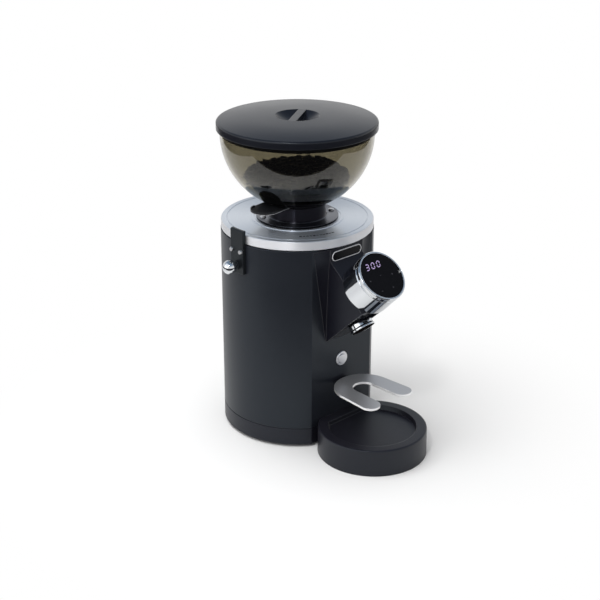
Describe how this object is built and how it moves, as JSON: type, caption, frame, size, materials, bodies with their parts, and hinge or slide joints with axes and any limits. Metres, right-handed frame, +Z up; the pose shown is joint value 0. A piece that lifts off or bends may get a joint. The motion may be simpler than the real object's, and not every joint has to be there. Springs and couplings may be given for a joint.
{
  "type": "burr coffee grinder",
  "caption": "Burr coffee grinder: round body with a flat front, clear domed hopper, grind-setting ring, tilted round display over the spout, portafilter fork and catch tray.",
  "frame": {"origin": "middle of the footprint's bounding box, on the table", "axes": "+Z up, the flat front with the spout faces -Y, the locking plunger is on the -X side"},
  "size_m": [0.1774, 0.2471, 0.3273],
  "materials": {
    "body_paint": "satin",
    "black_plastic": "satin",
    "lid_plastic": "matte",
    "smoked_plastic": "clear smoked gloss",
    "ring_metal": "turned satin",
    "cast_metal": "cast",
    "chrome": "polished",
    "brushed": "brushed",
    "steel": "plain",
    "display_glass": "black gloss",
    "board": "lacquered board",
    "capacitor": "satin",
    "rubber": "matte"
  },
  "bodies": {
    "housing": {"body_shell": "body_paint", "lock_bracket": "body_paint", "fork_arm": "body_paint", "base_pan": "black_plastic", "spout_housing": "black_plastic", "cord_gland": "black_plastic", "button_switch": "black_plastic", "grind_chamber": "cast_metal", "motor_platform": "cast_metal", "motor_end_bell": "cast_metal", "display_housing": "chrome", "display_bezel": "chrome", "nozzle": "chrome", "portafilter_fork": "brushed", "button_bezel": "brushed", "grounds_chute": "brushed", "motor_can": "brushed", "tie_posts": "brushed", "base_screws": "steel", "bracket_screws": "steel", "fork_screws": "steel", "lower_bearing": "steel", "upper_bearing": "steel", "plunger_sleeve": "steel", "lock_spring": "steel", "button_spring": "steel", "button_nut": "steel", "stator_core": "steel", "display_glass": "display_glass", "control_board": "board", "display_board": "board", "run_capacitor": "capacitor", "rubber_feet": "rubber"},
    "rotor": {"motor_shaft": "steel", "rotor_core": "steel", "lower_burr_carrier": "cast_metal", "lower_burr": "steel", "lower_burr_screws": "steel", "shaft_nut": "steel"},
    "adjuster": {"upper_burr": "steel", "upper_burr_screws": "steel", "upper_burr_carrier": "cast_metal", "adjusting_ring": "ring_metal", "carrier_screws": "steel", "index_skirt": "ring_metal", "hopper_collar": "black_plastic", "collar_screws": "steel"},
    "hopper": {"hopper_base": "black_plastic", "hopper_bowl": "smoked_plastic"},
    "gate": {"bean_gate": "black_plastic"},
    "lid": {"hopper_lid": "lid_plastic"},
    "lock": {"lock_pin": "steel", "lock_knob": "chrome"},
    "button": {"push_button": "brushed"},
    "tray": {"catch_tray": "black_plastic"}
  },
  "joints": [
    {"name": "burr_spin", "type": "hinge", "parent": "housing", "child": "rotor", "pos_m": [0.00865, 0.04325, 0.16], "axis": [0, 0, 1], "continuous": true},
    {"name": "grind_setting", "type": "hinge", "parent": "housing", "child": "adjuster", "pos_m": [0.00865, 0.04325, 0.2137], "axis": [0, 0, 1], "range_deg": [-40, 40]},
    {"name": "hopper_lift", "type": "slide", "parent": "adjuster", "child": "hopper", "axis": [0, 0, 1], "range_m": [0, 0.03]},
    {"name": "gate_slide", "type": "slide", "parent": "hopper", "child": "gate", "axis": [-0.9895, -0.1444, 0], "range_m": [0, 0.038]},
    {"name": "lid_lift", "type": "slide", "parent": "hopper", "child": "lid", "axis": [0, 0, 1], "range_m": [0, 0.04]},
    {"name": "lock_pull", "type": "slide", "parent": "housing", "child": "lock", "axis": [-1, 0, 0], "range_m": [0, 0.0045], "stiffness_N_per_m": 800, "springref_m": -0.002, "deforming": ["lock_spring"]},
    {"name": "button_press", "type": "slide", "parent": "housing", "child": "button", "axis": [0, 1, 0], "range_m": [0, 0.0015], "stiffness_N_per_m": 500, "springref_m": -0.001, "deforming": ["button_spring"]},
    {"name": "tray_pull", "type": "slide", "parent": "housing", "child": "tray", "axis": [0, -1, 0], "range_m": [0, 0.06]}
  ]
}
